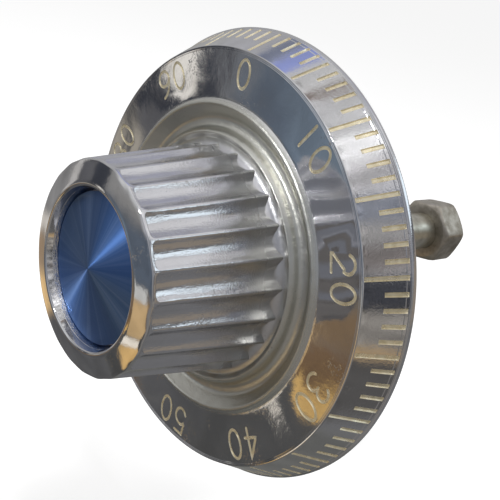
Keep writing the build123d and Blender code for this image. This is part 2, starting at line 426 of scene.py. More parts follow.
flare_low, flare_inner = FACE_HEIGHT - FLARE_DROP, valley_radius(FACE_HEIGHT)
flare_foot = (flare_inner + FLARE_RUN, flare_low)
flare_knee = (flare_inner + FLARE_KNEE, flare_low + FLARE_KNEE)
flare_head = (valley_radius(flare_low + FLARE_RUN), flare_low + FLARE_RUN)
flare = three_point_arc(flare_foot, flare_knee, flare_head, FLARE_STEPS)
land_crest = (RECESS_RADIUS + LAND_CREST_INSET, KNOB_FRONT + LAND_CROWN)
nose, corner = (KNOB_NOSE_RADIUS, NOSE_FRONT), (ridge_radius(SHOULDER_CORNER), SHOULDER_CORNER)
shoulder = rounded(corner, nose, land_crest, SHOULDER_ROUND, SHOULDER_STEPS)
knob_angles = [(2 * n + u) * pi / FLUTES for n in range(FLUTES) for u in FLUTE_COLUMNS]


def scallop(turn):
    """How far the shoulder is cut back over a flute, turn being the angle from its middle."""
    return SCALLOP * cos(turn * FLUTES / 2) ** 2


def flute_end(turn):
    """Height at which a flute closes, turn being the angle from its middle."""
    across = abs(turn) * ridge_radius(FLUTE_FRONT)
    straight = pi / FLUTES * ridge_radius(FLUTE_FRONT) - RIDGE_WIDTH / 2 - FLUTE_CORNER
    past = min(max(across - straight, 0), FLUTE_CORNER)
    return FLUTE_FRONT - FLUTE_CORNER + sqrt(FLUTE_CORNER**2 - past**2)


def flute_front_section(turn):
    """Points up the closed end of a flute and over its lip."""
    end = flute_end(turn)
    lip = (ridge_radius(end) - scallop(turn), end)
    depth = max(lip[0] - flute_surface(turn, end), RIDGE_DENT)
    run = FLUTE_END_RUN * depth / (lip[0] - valley_radius(end))
    foot = (lip[0] - depth, end - run)
    length = dist(lip, foot)
    before = (flute_surface(turn, foot[1] - 1), foot[1] - 1)
    after = (lip[0] - RIDGE_SLOPE, end + 1)
    hollow = rounded(foot, before, lip, min(FLUTE_END_ROUND, 0.5 * length))
    return hollow + rounded(lip, foot, after, min(LIP_ROUND, 0.5 * length))


def add_knob(shape):
    """Fluted knob: each column climbs the flare, its flute, the closed end and the shoulder."""
    columns = []
    for angle in knob_angles:
        turn = (angle + pi / FLUTES) % (2 * pi / FLUTES) - pi / FLUTES
        low = meeting(turn, flare)
        foot = [along(flare, low * n / FLARE_ROWS) for n in range(FLARE_ROWS + 1)]
        head = flute_front_section(turn)
        bottom, top = foot[-1][1], head[0][1]
        side = []
        for n in range(1, FLUTE_ROWS):
            height = bottom + (top - bottom) * n / FLUTE_ROWS
            side.append((flute_surface(turn, height), height))
        last = len(shoulder) - 1
        end = [(r - scallop(turn) * (1 - n / last), h) for n, (r, h) in enumerate(shoulder)]
        columns.append([placed(r, angle, h) for r, h in foot + side + head + end])
    shape.loft(zip(*columns))


def add_knob_front(shape):
    """Crowned land, and the recess with its softened mouth."""
    mouth = (RECESS_RADIUS, KNOB_FRONT)
    crest, edge = land_crest, shoulder[-1]
    middle = ((crest[0] + edge[0]) / 2, (crest[1] + edge[1]) / 2 + LAND_BULGE)
    fall = (mouth[0] + LAND_FALL[0], crest[1] - LAND_FALL[1])
    floor = (RECESS_FLOOR_RADIUS, RECESS_FLOOR)
    crown = three_point_arc(edge, middle, crest, LAND_STEPS)
    crown += three_point_arc(crest, fall, mouth, MOUTH_STEPS)[1:]
    lip = rounded(mouth, crown[-2], floor, MOUTH_ROUND)
    shape.lathe(crown[:-1] + lip + [floor], knob_angles)
    shape.disc(*floor, knob_angles)


def add_rings(shape):
    """Bead, dish and raised ring round the knob's foot. Gives the radius where the face starts."""
    # radius, and rise above the face, of points from the knob's foot outwards
    rises = [
        (flare_foot[0], -FLARE_DROP),
        (BEAD_RADIUS - BEAD_HALF_WIDTH, -FLARE_DROP),
        (BEAD_RADIUS - 0.45 * BEAD_HALF_WIDTH, 0.75 * BEAD_HEIGHT),
        (BEAD_RADIUS, BEAD_HEIGHT),
        (BEAD_RADIUS + 0.5 * BEAD_HALF_WIDTH, 0.2 * BEAD_HEIGHT),
        (BEAD_RADIUS + BEAD_HALF_WIDTH, -BEAD_OUTER_DROP),
        (DISH_LOW_RADIUS - 0.5, -DISH_DEPTH),
        (DISH_LOW_RADIUS + 0.4, -DISH_DEPTH),
        (DISH_OUTER_RADIUS - 0.4, -0.45 * DISH_DEPTH),
        (RING_RADIUS - RING_WIDTH, 0.3 * RING_HEIGHT),
        (RING_RADIUS - 0.62 * RING_WIDTH, RING_HEIGHT),
        (RING_RADIUS - 0.3 * RING_WIDTH, 0.8 * RING_HEIGHT),
    ]
    rings = smooth_section([(r, FACE_HEIGHT + rise) for r, rise in rises], RING_STEPS)
    foot, face_edge = (RING_RADIUS, FACE_HEIGHT), (FACE_RADIUS, FACE_HEIGHT)
    rings += rounded(foot, rings[-1], face_edge, RING_FOOT_ROUND)
    shape.lathe(rings, knob_angles)
    return rings[-1][0]


# ---- numbers
def oval(x, y, half_width, half_height, first, last):
    """Points on an oval, angles in degrees, anticlockwise from its right."""
    steps = max(3, ceil(abs(last - first) / OVAL_STEP))
    angles = [radians(first + (last - first) * n / steps) for n in range(steps + 1)]
    return [(x + half_width * cos(a), y + half_height * sin(a)) for a in angles]


def line(*corners):
    """Points along straight runs, close together."""
    points = [corners[0]]
    for (x0, y0), (x1, y1) in zip(corners, corners[1:]):
        steps = max(1, ceil(hypot(x1 - x0, y1 - y0) / LINE_STEP))
        for n in range(1, steps + 1):
            points.append((x0 + (x1 - x0) * n / steps, y0 + (y1 - y0) * n / steps))
    return points


# Strokes of each digit round its middle, W and H being its half width and half height.
W = DIGIT_WIDTH / 2
H = DIGIT_HEIGHT / 2
DIGITS = {
    "0": [oval(0, 0, W, H, 0, 360)],
    "1": [line((0, H), (0, -H))],
    "2": [oval(0, H - W, W, W, 165, -35)
          + line((0.55 * W, 0.1 * H), (-W, -0.86 * H), (-W, -H), (W, -H))],
    "3": [oval(0, 0.52 * H, 0.9 * W, 0.48 * H, 160, -90),
          oval(0, -0.48 * H, W, 0.52 * H, 90, -160)],
    "4": [line((0.4 * W, -H), (0.4 * W, H), (-W, -0.35 * H), (W, -0.35 * H))],
    "5": [line((0.8 * W, H), (-0.7 * W, H), (-0.85 * W, 0.1 * H))
          + oval(0, -0.36 * H, W, 0.64 * H, 140, -150)],
    "6": [oval(0, -0.42 * H, W, 0.58 * H, 0, 360),
          oval(0.9 * W, -0.42 * H, 1.9 * W, 1.42 * H, 180, 100)],
    "7": [line((-W, H), (W, H), (-0.35 * W, -H))],
    "8": [oval(0, 0.5 * H, 0.86 * W, 0.5 * H, 0, 360), oval(0, -0.5 * H, W, 0.5 * H, 0, 360)],
    "9": [oval(0, 0.42 * H, W, 0.58 * H, 0, 360),
          oval(-0.9 * W, 0.42 * H, 1.9 * W, 1.42 * H, 0, -80)],
}


def on_face(angle, across, out):
    """(x, z) of a point at a distance out along a spoke, and another across it."""
    return out * sin(angle) + across * cos(angle), out * cos(angle) - across * sin(angle)


def number_strokes():
    """The middle line of every stroke of the numbers, as (x, z) points on the face."""
    strokes = []
    for number in range(0, DIVISIONS, NUMBER_STEP):
        angle = 2 * pi * number / DIVISIONS
        text = str(number)
        for n, digit in enumerate(text):
            shift = NUMBER_SHIFT + (n - (len(text) - 1) / 2) * DIGIT_PITCH
            for stroke in DIGITS[digit]:
                strokes.append([on_face(angle, u + shift, NUMBER_RADIUS + v) for u, v in stroke])
    return strokes


def outlines(stroke, distance):
    """Closed outlines round a stroke: two for a ring, one with round ends for a line."""
    closed = dist(stroke[0], stroke[-1]) < CLOSED
    points = [Vector(p) for p in (stroke[:-1] if closed else stroke)]
    count = len(points)
    left, right = [], []
    for n, p in enumerate(points):
        before = points[(n - 1) % count] if closed else points[max(n - 1, 0)]
        after = points[(n + 1) % count] if closed else points[min(n + 1, count - 1)]
        steps = (p - before, after - p)
        into, out = (d.normalized() if d.length > TINY else None for d in steps)
        into, out = into or out, out or into
        tangent = (into + out).normalized()
        normal = Vector((-tangent.y, tangent.x))
        stretch = 1 / max(normal.dot(Vector((-into.y, into.x))), 0.5)  # at most double
        left.append(p + normal * distance * stretch)
        right.append(p - normal * distance * stretch)
    if closed:
        return [left, right]

    def cap(tip, start):
        """Points of the half circle round a tip, from a start on it."""
        spoke = start - tip
        turns = [Matrix.Rotation(-pi * k / CAP_STEPS, 2) for k in range(1, CAP_STEPS)]
        return [tip + turn @ spoke for turn in turns]

    return [left + cap(points[-1], left[-1]) + right[::-1] + cap(points[0], right[0])]


class StrokeDistance:
    """Distance from a point of the face to the nearest stroke, looked up in small squares."""

    SQUARE = 1.0
    MARGIN = 0.5  # strokes this far outside a square count too
    FAR = 1.0  # the answer where no stroke is near

    def __init__(self, strokes):
        self.squares = {}
        for stroke in strokes:
            points = [Vector(p) for p in stroke]
            for a, b in zip(points, points[1:]):
                for i in self.near(a.x, b.x):
                    for j in self.near(a.y, b.y):
                        self.squares.setdefault((i, j), []).append((a, b))

    def near(self, start, end):
        """Numbers of the squares near a run from start to end, on one axis."""
        low, high = min(start, end) - self.MARGIN, max(start, end) + self.MARGIN
        return range(int(low // self.SQUARE), int(high // self.SQUARE) + 1)

    def __call__(self, x, y):
        p = Vector((x, y))
        best = self.FAR
        for a, b in self.squares.get((int(x // self.SQUARE), int(y // self.SQUARE)), ()):
            run = b - a
            f = min(max((p - a).dot(run) / run.length_squared, 0), 1)
            best = min(best, (p - a - run * f).length)
        return best


def add_face(shape, inner_radius, outer_radius, outer_angles):
    """Flat face with the numbers cut into it."""
    strokes = number_strokes()
    distance = StrokeDistance(strokes)
    loops = [circle_points(inner_radius, knob_angles), circle_points(outer_radius, outer_angles)]
    for stroke in strokes:
        loops += outlines(stroke, STROKE_HALF_WIDTH)
        loops += outlines(stroke, STROKE_HALF_WIDTH - STROKE_WALL)

    def place(flat):
        made = []
        for x, z in flat:
            inside = (STROKE_HALF_WIDTH - distance(x, z)) / STROKE_WALL
            sunk = STROKE_DEPTH * min(inside, 1) if inside > STROKE_EDGE else 0
            made.append((x, sunk - FACE_HEIGHT, z))
        return made

    shape.fill(
        loops,
        lambda corners, middle: outside_circle(corners, inner_radius),
        place,
        lambda x, z: 1 if distance(x, z) < STROKE_HALF_WIDTH - PAINT_INSET else 0,
    )


# ---- bevel
BEVEL_DROP = BEVEL_HEAD - BEVEL_FOOT
BEVEL_LENGTH = hypot(BEVEL_WIDTH, BEVEL_DROP)
BEVEL_CORNER_RUN = -(FACE_HEIGHT - BEVEL_HEAD) * BEVEL_LENGTH / BEVEL_DROP
MIDDLE_RADIUS = BEVEL_HEAD_RADIUS + BEVEL_WIDTH / 2
edge_turn = MARK_HALF_WIDTH / MIDDLE_RADIUS
floor_turn = (MARK_HALF_WIDTH - MARK_WALL) / MIDDLE_RADIUS
division_turn = 2 * pi / DIVISIONS
# columns of a division: edge, floor, middle, floor and edge of its mark, then the plain bevel
MARK_COLUMNS = (-edge_turn, -floor_turn, 0, floor_turn, edge_turn, 1.5 * edge_turn,
                0.37 * division_turn, 0.5 * division_turn, 0.63 * division_turn,
                division_turn - 1.5 * edge_turn)
FLOOR_COLUMNS = (1, 2, 3)
MARK_STRIPS = 4
bevel_angles = [n * division_turn + t for n in range(DIVISIONS) for t in MARK_COLUMNS]


def bevel_point(run, out):
    """(radius, height) at a distance along the bevel from its head, and out of its surface."""
    return (
        BEVEL_HEAD_RADIUS + (BEVEL_WIDTH * run + BEVEL_DROP * out) / BEVEL_LENGTH,
        BEVEL_HEAD - (BEVEL_DROP * run - BEVEL_WIDTH * out) / BEVEL_LENGTH,
    )


def add_bevel(shape, inner_radius):
    """Edge of the face, graduated bevel and band. Gives the radius where the back starts."""
    section = [(inner_radius, FACE_HEIGHT)]
    for place in EDGE_LINES:
        for side, depth in ((-EDGE_LINE_HALF, 0), (0, EDGE_LINE_DEPTH), (EDGE_LINE_HALF, 0)):
            section.append((inner_radius + place + side, FACE_HEIGHT - depth))
    corner = bevel_point(BEVEL_CORNER_RUN, 0)
    edge = rounded(corner, (FACE_RADIUS, FACE_HEIGHT), (BEVEL_HEAD_RADIUS, BEVEL_HEAD), EDGE_ROUND)
    shape.lathe(section + edge, bevel_angles)

    first = BEVEL_CORNER_RUN + dist(edge[-1], corner)
    end = BEVEL_LENGTH - MARK_END_GAP
    short, long = SHORT_MARK_GAP, first + LONG_MARK_GAP
    ring = end - RING_LINE_GAP
    runs = [first, long, long + MARK_WALL, *BEVEL_HEAD_RUNS, short, short + MARK_WALL]
    runs += [*BEVEL_FOOT_RUNS, ring - RING_LINE_HALF, ring, ring + RING_LINE_HALF]
    runs += [end - MARK_WALL, end]
    rows = []
    for run in runs:
        points = []
        for n, angle in enumerate(bevel_angles):
            division, column = divmod(n, len(MARK_COLUMNS))
            start = short if division % LONG_MARK_STEP else long
            in_mark = start + MARK_WALL - TINY < run < end - MARK_WALL + TINY
            groove = RING_LINE_DEPTH if run == ring else 0
            depth = MARK_DEPTH if in_mark and column in FLOOR_COLUMNS else groove
            radius, height = bevel_point(run, -depth)
            points.append(placed(radius, angle, height))
        rows.append(points)

    def finish(row, column):
        """Paint in the marks, plating elsewhere."""
        division, strip = divmod(column, len(MARK_COLUMNS))
        start = short if division % LONG_MARK_STEP else long
        along_mark = start - TINY < (runs[row] + runs[row + 1]) / 2 < end
        return 1 if strip < MARK_STRIPS and along_mark else 0

    shape.loft(rows, finish)

    foot, band = (BEVEL_FOOT_RADIUS, BEVEL_FOOT), (RIM_RADIUS, BAND_WIDTH)
    section = [bevel_point(end, 0)]
    section += [bevel_point(BEVEL_LENGTH - before, -depth) for before, depth in FOOT_LINE]
    section.append(foot)
    section += rounded(band, foot, (RIM_RADIUS, 0), BAND_FRONT_ROUND, 2)
    section += rounded((RIM_RADIUS, 0), band, (0, 0), BAND_BACK_ROUND)
    shape.lathe(section, bevel_angles)
    return section[-1][0]


# ---- the cored back
def add_flat(shape, height, outer, inner, holes=()):
    """Flat ring across the axis between two circles, each a radius and its angles."""
    loops = [circle_points(*outer), circle_points(*inner)]

    def keep(corners, middle):
        cut_away = any(inside_loop(*middle, hole) for hole in holes)
        return outside_circle(corners, inner[0]) and not cut_away

    shape.fill(loops + list(holes), keep, lambda flat: [(x, -height, z) for x, z in flat])


def core_radius(height):
    """Radius of the knob's core at a height."""
    foot = valley_radius(FACE_HEIGHT) - KNOB_WALL
    top = valley_radius(CORE_TOP) - KNOB_WALL
    climb = max(0, (height - FACE_HEIGHT) / (CORE_TOP - FACE_HEIGHT))
    return foot + (top - foot) * climb


def pocket_reach(radius):
    """Half the angle that a pocket between two webs takes up at a radius."""
    return pi / WEBS - asin(WEB_THICKNESS / 2 / radius)


pocket_middles = [pi / WEBS * (2 * n + 1) for n in range(WEBS)]
pocket_ends = [m + side * pocket_reach(core_radius(0)) for m in pocket_middles for side in (-1, 1)]
core_angles = sorted(turned(BACK_COLUMNS) + pocket_ends)


def pocket(middle, height):
    """Outline of the pocket between two webs, round an angle, at a height."""
    mouth_reach = pocket_reach(core_radius(0))
    radius = core_radius(height)
    narrowing = pocket_reach(radius) / mouth_reach
    nearby = [a for a in core_angles if abs(a - middle) < mouth_reach + TINY]
    outer = [middle + (a - middle) * narrowing for a in nearby]
    steps = range(2 * POCKET_STEPS + 1)
    inner = [middle + pocket_reach(BOSS_RADIUS) * (1 - n / POCKET_STEPS) for n in steps]
    return circle_points(radius, outer) + circle_points(BOSS_RADIUS, inner)


def pin_hole(radius, side):
    """Outline of the pin's hole in a cylinder round the axis, as (arc length, height) points."""
    points = []
    for t in turned(PIN_COLUMNS):
        x, height = PIN_RADIUS * cos(t), -HUB_LENGTH / 2 + PIN_RADIUS * sin(t)
        points.append((radius * (asin(x / radius) + side * pi), height))
    return points


def add_bored_cylinder(shape, radius, low, high):
    """Cylinder round the axis, between two heights, with the pin's two holes in it."""
    start = -pi / 2
    across = [radius * (start + 2 * pi * n / HUB_COLUMNS) for n in range(HUB_COLUMNS + 1)]
    holes = [pin_hole(radius, side) for side in (0, 1)]
    border = [(x, low) for x in across] + [(x, high) for x in reversed(across)]
    shape.fill(
        [border] + holes,
        lambda corners, middle: not any(inside_loop(*middle, hole) for hole in holes),
        lambda flat: [placed(radius, x / radius, y) for x, y in flat],
    )


def add_back(shape, rim_back_radius):
    """Everything behind the back edge, and the hollow core of the knob."""
    hub_angles = turned(HUB_COLUMNS)
    groove_outer = RIM_RADIUS - RIM_LAND
    groove_inner = core_radius(0) + CORE_RIM_WIDTH
    corners = [(RIM_RADIUS, 0), (groove_outer, 0), (groove_outer, GROOVE_TOP),
               (groove_inner, GROOVE_TOP), (groove_inner, 0), (0, 0)]
    groove = []
    for n, radius in enumerate((BACK_ROUND, GROOVE_ROUND, GROOVE_ROUND, BACK_ROUND), 1):
        groove += rounded(corners[n], corners[n - 1], corners[n + 1], radius)
    add_flat(shape, 0, (rim_back_radius, bevel_angles), (groove[0][0], core_angles))
    web_edge = (core_radius(0), WEB_SETBACK)
    mouth = rounded((core_radius(0), 0), (groove_inner, 0), web_edge, BACK_ROUND)
    shape.lathe(groove + mouth + [web_edge], core_angles)

    holes = [pocket(m, WEB_SETBACK) for m in pocket_middles]
    web = (core_radius(0), core_angles)
    add_flat(shape, WEB_SETBACK, web, (HUB_RADIUS, hub_angles), holes)
    for middle in pocket_middles:
        heights = (WEB_SETBACK, FACE_HEIGHT, CORE_TOP)
        shape.loft([(x, -h, z) for x, z in pocket(middle, h)] for h in heights)
        top = pocket(middle, CORE_TOP)
        shape.fill(
            [top],
            lambda corners, middle: inside_loop(*middle, top),
            lambda flat: [(x, -CORE_TOP, z) for x, z in flat],
        )

    chamfer_start = HUB_CHAMFER - HUB_LENGTH
    chamfer_end = (HUB_RADIUS - HUB_CHAMFER, -HUB_LENGTH)
    add_bored_cylinder(shape, HUB_RADIUS, chamfer_start, WEB_SETBACK)
    shape.lathe([(HUB_RADIUS, chamfer_start), chamfer_end, (BORE_RADIUS, -HUB_LENGTH)], hub_angles)
    add_bored_cylinder(shape, BORE_RADIUS, -HUB_LENGTH, SPINDLE_SEAT)
    shape.disc(BORE_RADIUS, SPINDLE_SEAT, hub_angles)
    for side in (0, 1):
        radii = (HUB_RADIUS, BORE_RADIUS)
        shape.loft([placed(r, x / r, y) for x, y in pin_hole(r, side)] for r in radii)


def make_casting(materials):
    """The whole plated casting, as one closed mesh."""
    shape = Shape()
    add_knob(shape)
    add_knob_front(shape)
    face_inner = add_rings(shape)
    face_outer = FACE_RADIUS - EDGE_STRIP
    add_face(shape, face_inner, face_outer, bevel_angles)
    add_back(shape, add_bevel(shape, face_outer))
    shape.piece("dial_casting_finish", materials, "plated_casting", "dial_casting")


# ---- the inlay and the nut
def make_inlay(materials):
    """Turned inlay in the knob's recess: a shallow cone with a softened edge."""
    foot, tip = (INLAY_RADIUS, RECESS_FLOOR), (INLAY_FLAT_RADIUS, INLAY_FRONT)
    edge = rounded((INLAY_RADIUS, RECESS_FLOOR + INLAY_EDGE), foot, tip, INLAY_ROUND)
    cone = [along([edge[-1], tip], n / INLAY_ROWS) for n in range(INLAY_ROWS + 1)]
    angles = turned(INLAY_COLUMNS)
    shape = Shape()
    shape.lathe([foot] + edge + cone[1:], angles)
    shape.disc(*tip, angles)
    shape.disc(*foot, angles)
    shape.piece("knob_inlay_finish", materials, "blue_inlay", "knob_inlay")


def nut_radius(turn, depth):
    """Radius of the nut at an angle from a flat's middle and a depth from its nearer end."""
    flats = NUT_APOTHEM / cos(turn)
    corners = smooth_minimum(flats, NUT_CORNER_RADIUS, NUT_BLEND)
    turned_end = NUT_FACE_RADIUS + depth / tan(NUT_FACE_ANGLE)
    return smooth_minimum(corners, turned_end, NUT_BLEND)


def make_nut(materials):
    """Hexagon nut with turned, worn corners."""
    angles = turned(NUT_COLUMNS)
    thickness = NUT_BACK - NUT_GAP
    rows = []
    for n in range(NUT_ROWS + 1):
        place = thickness * (1 - cos(pi * n / NUT_ROWS)) / 2
        depth = min(place, thickness - place)
        points = []
        for angle in angles:
            turn = (angle - NUT_TURN) % (pi / 3) - pi / 6
            points.append(placed(nut_radius(turn, depth), angle, -NUT_GAP - place))
        rows.append(points)
    start, stop = ([placed(BORE_RADIUS, a, -y) for a in angles] for y in (NUT_GAP, NUT_BACK))
    shape = Shape()
    shape.loft([start] + rows + [stop, start])
    shape.piece("spindle_nut_finish", materials, "nut_steel", "spindle_nut")


# ---- materials
PLATING = (0.6, 0.6, 0.62, 1)
HAZY_PLATING = (0.56, 0.555, 0.56, 1)
# khaki tone painted on the rings round the knob's foot: a painted reflection
RINGS_PAINTED_REFLECTION = (0.575, 0.57, 0.525, 1)
PITTING = (0.34, 0.32, 0.3, 1)
PAINT = (0.8, 0.73, 0.55, 1)
WORN_PAINT = (0.66, 0.58, 0.4, 1)
INLAY_BLUE = (0.09, 0.19, 0.46, 1)
# paler blue of the streaks painted into the inlay: a painted highlight
INLAY_PAINTED_HIGHLIGHT = (0.17, 0.29, 0.58, 1)
# colour, stain and least roughness of each steel
STEELS = {
    "nut_steel": ((0.5, 0.46, 0.4, 1), (0.3, 0.27, 0.22, 1), 0.38),
    "dull_steel": ((0.6, 0.58, 0.5, 1), (0.38, 0.36, 0.3, 1), 0.3),
    "pin_steel": ((0.56, 0.55, 0.52, 1), (0.4, 0.38, 0.35, 1), 0.25),
}

# Borders of the plating's finishes: distances from the axis, or places along it.
WORN_MIDDLE = (RING_RADIUS - 0.6, RING_RADIUS + 0.6)
KNOB_NOSE = (-(NOSE_FRONT + 0.1), -NOSE_FRONT)
WORN_FOOT = (-(FACE_HEIGHT + 10.0), -(FACE_HEIGHT + 0.5))
# where the rings' painted khaki reflection tone begins
DISH_START = (KNOB_FOOT_RADIUS - 0.3, KNOB_FOOT_RADIUS + 0.8)
BEVEL_START = (BEVEL_HEAD_RADIUS - 0.6, BEVEL_HEAD_RADIUS)
STREAK_SCALE = (700.0, 110.0, 700.0)


class Nodes:
    """Makes the nodes of one tree, each from its kind, its settings and its inputs."""

    def __init__(self, tree):
        self.tree = tree
        tree.nodes.clear()

    def make(self, kind, inputs=(), output=0, **settings):
        """Makes a node and gives one of its outputs. Inputs are values or other outputs."""
        node = self.tree.nodes.new("ShaderNode" + kind)
        for key, value in settings.items():
            setattr(node, key, value)
        for key, value in dict(inputs).items():
            if isinstance(value, bpy.types.NodeSocket):
                self.tree.links.new(value, node.inputs[key])
            else:
                node.inputs[key].default_value = value
        return node.outputs[output] if node.outputs else None

    def math(self, operation, *values):
        """One operation on one or two values."""
        return self.make("Math", enumerate(values), operation=operation)

    def plus(self, first, second):
        return self.math("ADD", first, second)

    def times(self, first, second):
        return self.math("MULTIPLY", first, second)

    def place(self):
        """Position on the object, in metres."""
        return self.make("TexCoord", output=3)

    def axis_distance(self):
        """The three parts of the position, and its distance from the dial's axis."""
        x, y, z = self.make("SeparateXYZ", {0: self.place()}).node.outputs
        squares = self.plus(self.math("POWER", x, 2.0), self.math("POWER", z, 2.0))
        return x, y, z, self.math("POWER", squares, 0.5)

    def noise(self, scale, detail=2.0, roughness=0.5, vector=None):
        """Noise on the object, with its scale per metre, or on a vector."""
        inputs = {"Scale": scale, "Detail": detail, "Roughness": roughness}
        inputs["Vector"] = vector or self.place()
        return self.make("TexNoise", inputs)

    def span(self, value, low, high, to_low=0.0, to_high=1.0):
        """Value taken smoothly from one range to another."""
        inputs = {0: value, 1: low, 2: high, 3: to_low, 4: to_high}
        return self.make("MapRange", inputs, interpolation_type="SMOOTHSTEP")

    def zone(self, value, border, *ends):
        """Zero before a border, in millimetres, and one past it, or the ends that are given."""
        return self.span(value, border[0] * MM, border[1] * MM, *ends)

    def mix(self, factor, first, second):
        """Colour between two others."""
        inputs = {0: factor, 6: first, 7: second}
        return self.make("Mix", inputs, output=2, data_type="RGBA")

    def bump(self, height, distance, normal=None, strength=1.0):
        """Normal bent by a height of some millimetres, over another normal."""
        inputs = {"Height": height, "Distance": distance * MM, "Strength": strength}
        if normal:
            inputs["Normal"] = normal
        return self.make("Bump", inputs)

    def finish(self, **inputs):
        """Ends the tree with a metal or paint shader."""
        shader = self.make("BsdfPrincipled", {k.replace("_", " "): v for k, v in inputs.items()})
        self.make("OutputMaterial", {"Surface": shader})


def new_material(name):
    """An empty material, and the maker of its nodes."""
    material = bpy.data.materials.new(name)
    material.use_nodes = True
    return material, Nodes(material.node_tree)


def chrome_material():
    """Plating: bright on the face, grained on the bevel, satin from wear on the knob and rings,
    with a khaki reflection tone painted on the rings.
    """
    material, n = new_material("plated_casting")
    _, y, _, radius = n.axis_distance()
    satin = n.times(n.zone(radius, WORN_MIDDLE, 1.0, 0.0), n.zone(y, KNOB_NOSE))
    foot = n.times(satin, n.zone(y, WORN_FOOT))
    # rings round the knob's foot, which get the painted khaki reflection tone
    dish = n.times(satin, n.zone(radius, DISH_START))
    bevel = n.zone(radius, BEVEL_START)
    haze = n.span(n.noise(70, 4, 0.7), 0.35, 0.75)
    pit_zone = n.span(n.noise(120, 3, 0.6), 0.55, 0.72)
    pitted = n.times(n.span(n.noise(2600, 3, 0.6), 0.58, 0.68), pit_zone)

    rough = n.plus(n.times(haze, 0.04), 0.05)
    for mask, extra in ((satin, 0.03), (foot, 0.2), (pitted, 0.3)):
        rough = n.plus(rough, n.times(mask, extra))
    colour = n.mix(haze, PLATING, HAZY_PLATING)
    # painted reflection: a khaki tone over the rings
    colour = n.mix(dish, colour, RINGS_PAINTED_REFLECTION)
    colour = n.mix(pitted, colour, PITTING)

    # fine grain, in streaks along the axis where the plating is worn
    streaks = n.make("Mapping", {0: n.place(), 3: STREAK_SCALE})
    frost = n.span(n.noise(1.0, 3, 0.6, streaks), 0.35, 0.65, 0.35, 1.3)
    grained = n.math("MAXIMUM", n.times(satin, frost), n.times(bevel, 0.3))
    grained = n.math("MAXIMUM", grained, 0.05)
    normal = n.bump(n.noise(90, 1), 0.12)
    normal = n.bump(n.noise(600, 2), 0.008, normal)
    normal = n.bump(n.times(n.noise(3300, 2, 0.65), grained), 0.042, normal)
    normal = n.bump(n.times(pitted, -1), 0.02, normal)
    n.finish(Base_Color=colour, Metallic=1.0, Roughness=rough, Normal=normal)
    return material


def paint_material():
    """Worn, slightly metallic cream paint in the marks and numbers."""
    material, n = new_material("mark_paint")
    colour = n.mix(n.span(n.noise(900, 3), 0.35, 0.7), PAINT, WORN_PAINT)
    rough = n.span(n.noise(500, 2), 0.3, 0.7, 0.22, 0.4)
    n.finish(Base_Color=colour, Metallic=0.75, Roughness=rough, Normal=n.bump(n.noise(3000), 0.01))
    return material


def inlay_material():
    """Blue metal, turned in fine rings, which draw a highlight out into radial streaks; paler
    radial streaks are also painted into its colour as a painted highlight.
    """
    material, n = new_material("blue_inlay")
    x, _, z, radius = n.axis_distance()
    angle = n.math("ARCTAN2", x, z)
    around = n.make("CombineXYZ", {0: n.math("SINE", angle), 1: n.math("COSINE", angle)})
    # paler blue in streaks round the axis: a painted highlight, beside the real anisotropic one
    painted_highlight_streaks = n.span(n.noise(4, 4, 0.7, around), 0.42, 0.7)
    turning = n.noise(1.0, 2, 0.6, n.make("CombineXYZ", {0: n.times(radius, 9000.0)}))
    n.finish(
        Base_Color=n.mix(painted_highlight_streaks, INLAY_BLUE, INLAY_PAINTED_HIGHLIGHT),
        Metallic=1.0,
        Roughness=n.span(turning, 0.3, 0.7, 0.34, 0.42),
        Anisotropic=0.97,
        Anisotropic_Rotation=0.25,
        Tangent=n.make("Tangent", direction_type="RADIAL", axis="Y"),
        Normal=n.bump(turning, 0.003),
    )
    return material


def steel_material(name):
    """Stained, uneven steel."""
    material, n = new_material(name)
    light, dark, rough = STEELS[name]
    stain = n.span(n.noise(350, 4, 0.65), 0.3, 0.75)
    n.finish(
        Base_Color=n.mix(stain, light, dark),
        Metallic=1.0,
        Roughness=n.span(stain, 0, 1, rough, rough + 0.15),
        Normal=n.bump(n.noise(1800, 3), 0.04, strength=0.6),
    )
    return material


def wear_cad_node(name, steel):
    """Gives a CAD node its steel, and leaves its mesh as it is."""
    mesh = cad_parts[name].data
    mesh.materials.clear()
    mesh.materials.append(steel_material(steel))


# ---- camera, studio and light
CAMERA_PLACE = (106.56, -100.29, 55.76)
FLOOR_GAP = 25
FLOOR_HALF = 6.0  # metres
FLOOR_COLOUR = (0.9, 0.9, 0.9, 1)
FLOOR_GLOW = 0.38  # only to the camera
WORLD_LEVEL = 0.6
SEEN_WORLD_LEVEL = 1.0
ROOM_RADIUS = 3.0  # metres
WANDER = (5.0, 3.0)  # degrees by which the borders in the room stray
BAR_SIZE = (2.5, 7.0)  # degrees, of the bars of light beside and above the dial
BARRED_AREA = (60, 106, -22, 95, 4)
BARRED_TOP = (64.0, 72.0)

# Tones of the room, each after its elevation in degrees.
ROOM_TONES = (
    (-90, 0.18, 0.18, 0.17),
    (-45, 0.19, 0.19, 0.18),
    (-8, 0.27, 0.26, 0.245),
    (10, 0.48, 0.48, 0.48),
    (40, 0.58, 0.58, 0.59),
    (60, 0.76, 0.76, 0.78),
    (74, 0.92, 0.92, 0.91),
    (90, 0.86, 0.86, 0.86),
)

